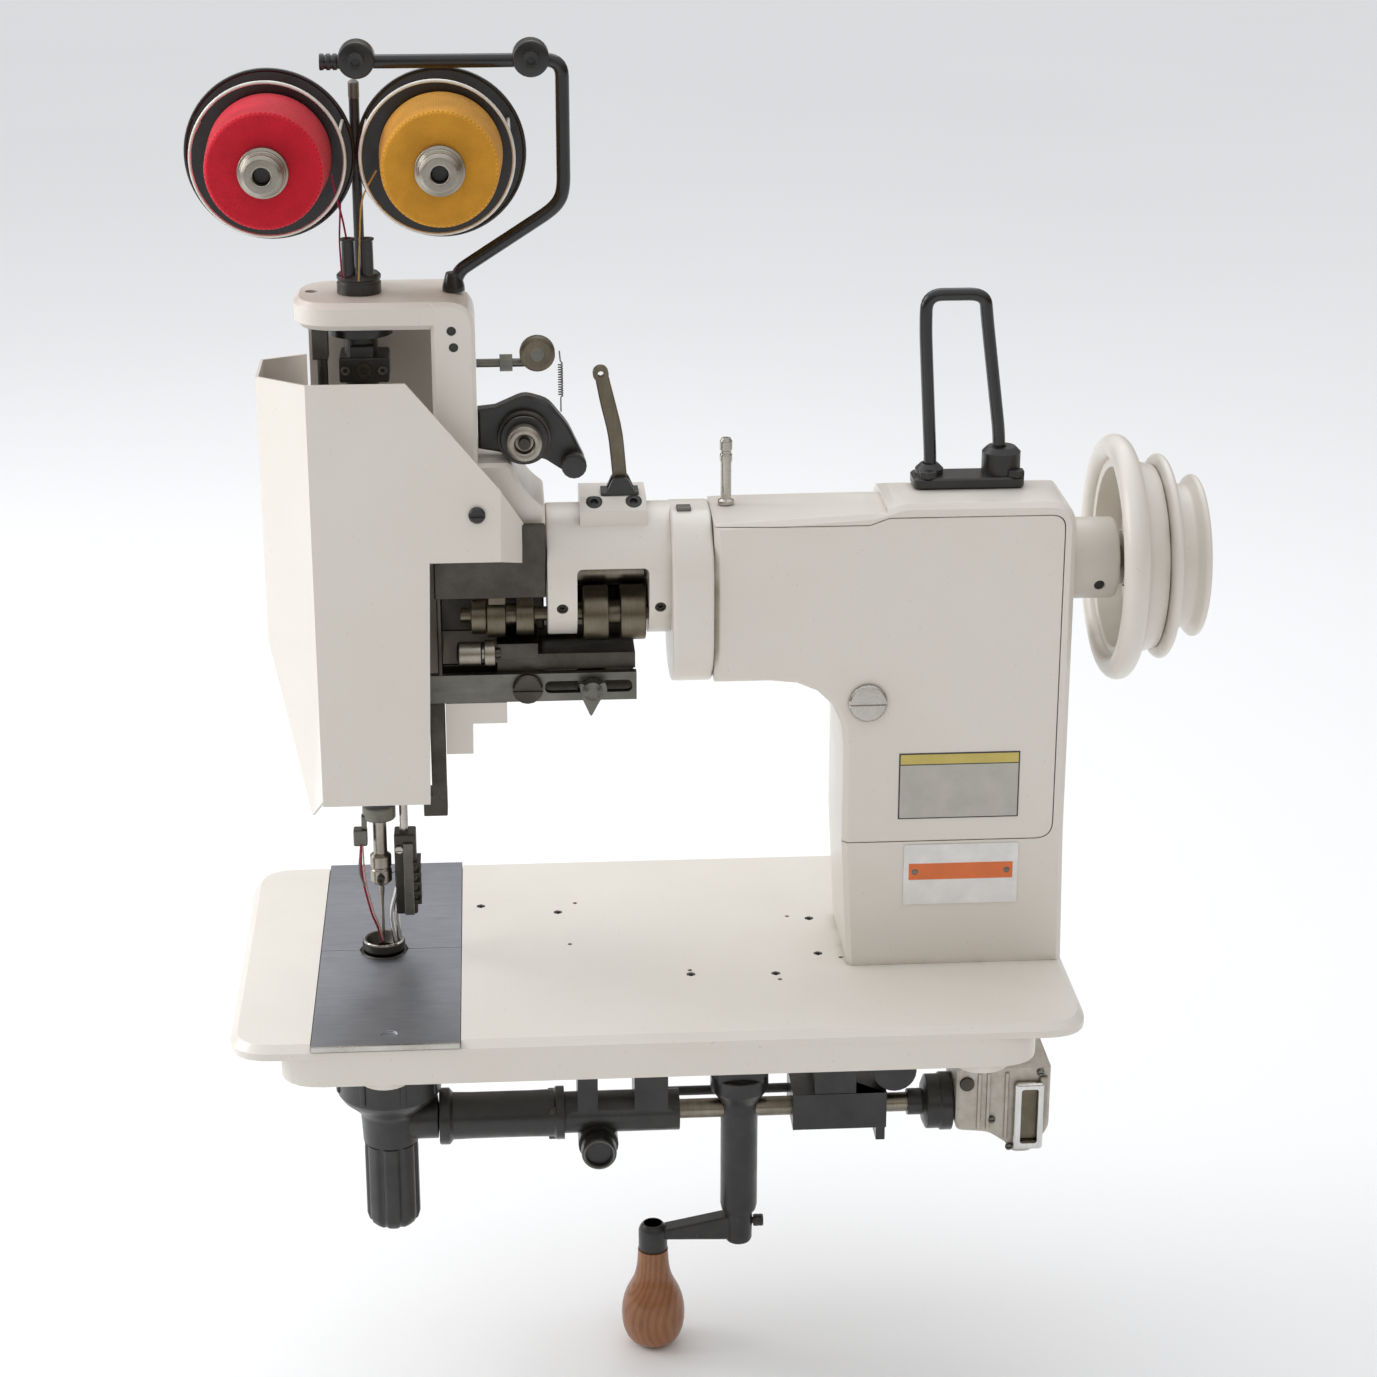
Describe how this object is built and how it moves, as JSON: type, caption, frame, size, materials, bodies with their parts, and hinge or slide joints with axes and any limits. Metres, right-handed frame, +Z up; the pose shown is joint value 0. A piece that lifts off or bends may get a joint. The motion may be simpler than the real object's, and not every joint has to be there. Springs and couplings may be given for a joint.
{
  "type": "chain stitch embroidery machine",
  "caption": "Hand-guided chain-stitch embroidery machine head: bed, column, arm, turning needle head with thread stand, handwheel, and a steering crank below the bed.",
  "frame": {"origin": "centre of the bed's outline, in the plane of the rim's underside, where the head rests in its table cut-out", "axes": "+X from the needle to the handwheel, -Y towards the operator, +Z up"},
  "size_m": [0.5598, 0.253, 0.7973],
  "materials": {
    "cream_paint": "glossy enamel, slightly worn",
    "plate_steel": "satin blued steel",
    "bright_steel": "polished, lightly tarnished",
    "dark_steel": "oiled dark steel",
    "black_enamel": "semi-gloss black enamel",
    "die_cast": "as cast, satin",
    "turned_wood": "varnished",
    "red_yarn": "wound thread",
    "yellow_yarn": "wound thread",
    "plate_label": "printed metal label without text"
  },
  "bodies": {
    "frame": {"bed": "cream_paint", "needle_plate": "bright_steel", "arm_casting": "cream_paint", "arm_cover_plate": "cream_paint", "arm_cover_screw": "bright_steel", "name_plate": "plate_label", "sleeve_housing": "cream_paint", "handle_base": "black_enamel", "carry_handle": "black_enamel", "thread_post": "bright_steel", "head_frame": "cream_paint", "face_cover": "cream_paint", "face_cover_screw": "black_enamel", "guide_bar": "black_enamel", "guide_clamp_left": "black_enamel", "guide_clamp_right": "black_enamel", "tension_bracket": "black_enamel", "tension_discs": "bright_steel", "check_wire": "bright_steel", "upper_guide_rod": "bright_steel", "lever_clevis": "black_enamel", "slotted_bar": "bright_steel", "bar_screw": "dark_steel", "mechanism_block": "dark_steel", "lift_bar": "dark_steel", "guide_rod": "bright_steel", "looper_housing": "black_enamel", "cross_tube": "black_enamel", "middle_bracket": "black_enamel", "crank_housing": "black_enamel", "bearing_block": "black_enamel", "gearbox": "die_cast"},
    "front_slide_plate": {"slide_plate_front": "plate_steel"},
    "rear_slide_plate": {"slide_plate_rear": "plate_steel"},
    "drive": {"main_shaft": "bright_steel", "handwheel": "cream_paint", "belt_pulley": "cream_paint"},
    "upright": {"upright_shaft": "bright_steel"},
    "cams": {"cam_shaft": "bright_steel"},
    "turning_head": {"steering_tube": "black_enamel", "spool_carrier": "black_enamel", "spool_cap_left": "bright_steel", "spool_cap_right": "bright_steel", "wire_ring_left": "bright_steel", "wire_ring_right": "bright_steel"},
    "red_thread": {"red_spool": "red_yarn"},
    "yellow_thread": {"yellow_spool": "yellow_yarn"},
    "needle": {"needle_bar": "bright_steel"},
    "foot": {"press_foot": "bright_steel"},
    "looper": {"looper_tube": "black_enamel"},
    "steering": {"steering_shaft": "bright_steel"},
    "crank": {"crank_arm": "black_enamel"},
    "grip": {"wood_grip": "turned_wood"},
    "lever": {"shift_lever": "dark_steel"},
    "slider": {"stitch_slider": "dark_steel"},
    "wing": {"wing_screw": "bright_steel"},
    "tension_nut": {"tension_knob": "bright_steel"},
    "adjuster": {"looper_knob": "black_enamel"}
  },
  "joints": [
    {"name": "front_plate_slide", "type": "slide", "parent": "frame", "child": "front_slide_plate", "axis": [0, -1, 0], "range_m": [0, 0.09]},
    {"name": "rear_plate_slide", "type": "slide", "parent": "frame", "child": "rear_slide_plate", "axis": [0, 1, 0], "range_m": [0, 0.09]},
    {"name": "handwheel_turn", "type": "hinge", "parent": "frame", "child": "drive", "pos_m": [0.265, 0, 0.24], "axis": [1, 0, 0], "continuous": true},
    {"name": "upright_turn", "type": "hinge", "parent": "frame", "child": "upright", "pos_m": [0.194, 0, 0.1], "axis": [0, 0, 1], "continuous": true},
    {"name": "cam_turn", "type": "hinge", "parent": "frame", "child": "cams", "pos_m": [-0.02, -0.014, 0.218], "axis": [1, 0, 0], "continuous": true},
    {"name": "crank_turn", "type": "hinge", "parent": "frame", "child": "crank", "pos_m": [0.053, 0, -0.15], "axis": [0, 0, 1], "continuous": true},
    {"name": "steering_turn", "type": "hinge", "parent": "frame", "child": "steering", "pos_m": [0.05, 0, -0.103], "axis": [1, 0, 0], "continuous": true},
    {"name": "looper_turn", "type": "hinge", "parent": "frame", "child": "looper", "pos_m": [-0.1565, 0, -0.1], "axis": [0, 0, 1], "continuous": true},
    {"name": "head_turn", "type": "hinge", "parent": "frame", "child": "turning_head", "pos_m": [-0.1565, 0, 0.3], "axis": [0, 0, 1], "continuous": true},
    {"name": "grip_spin", "type": "hinge", "parent": "crank", "child": "grip", "pos_m": [0.0005, 0, -0.23], "axis": [0, 0, 1], "continuous": true},
    {"name": "red_spool_spin", "type": "hinge", "parent": "turning_head", "child": "red_thread", "pos_m": [-0.2025, 0, 0.471], "axis": [0, 1, 0], "continuous": true},
    {"name": "yellow_spool_spin", "type": "hinge", "parent": "turning_head", "child": "yellow_thread", "pos_m": [-0.1105, 0, 0.471], "axis": [0, 1, 0], "continuous": true},
    {"name": "needle_stroke", "type": "slide", "parent": "turning_head", "child": "needle", "axis": [0, 0, 1], "range_m": [-0.008, 0.022]},
    {"name": "foot_lift", "type": "slide", "parent": "turning_head", "child": "foot", "axis": [0, 0, 1], "range_m": [0, 0.008]},
    {"name": "shift_lever_swing", "type": "hinge", "parent": "frame", "child": "lever", "pos_m": [-0.016, -0.005, 0.291], "axis": [0, 1, 0], "range_deg": [-20, 20]},
    {"name": "stitch_length_slide", "type": "slide", "parent": "frame", "child": "slider", "axis": [1, 0, 0], "range_m": [-0.015, 0.015]},
    {"name": "wing_screw_turn", "type": "hinge", "parent": "slider", "child": "wing", "pos_m": [-0.0336, -0.03, 0.1778], "axis": [0, 1, 0], "range_deg": [-90, 90]},
    {"name": "tension_knob_turn", "type": "hinge", "parent": "frame", "child": "tension_nut", "pos_m": [-0.069, -0.028, 0.321], "axis": [0, 1, 0], "range_deg": [-180, 180]},
    {"name": "adjuster_turn", "type": "hinge", "parent": "frame", "child": "adjuster", "pos_m": [-0.0325, -0.019, -0.119], "axis": [0, 1, 0], "range_deg": [-180, 180]}
  ],
  "couplings": [
    {"joint": "upright_turn", "follows": "handwheel_turn", "ratio": 1},
    {"joint": "cam_turn", "follows": "handwheel_turn", "ratio": -0.641},
    {"joint": "steering_turn", "follows": "crank_turn", "ratio": 1},
    {"joint": "looper_turn", "follows": "crank_turn", "ratio": 1},
    {"joint": "head_turn", "follows": "crank_turn", "ratio": 1}
  ]
}
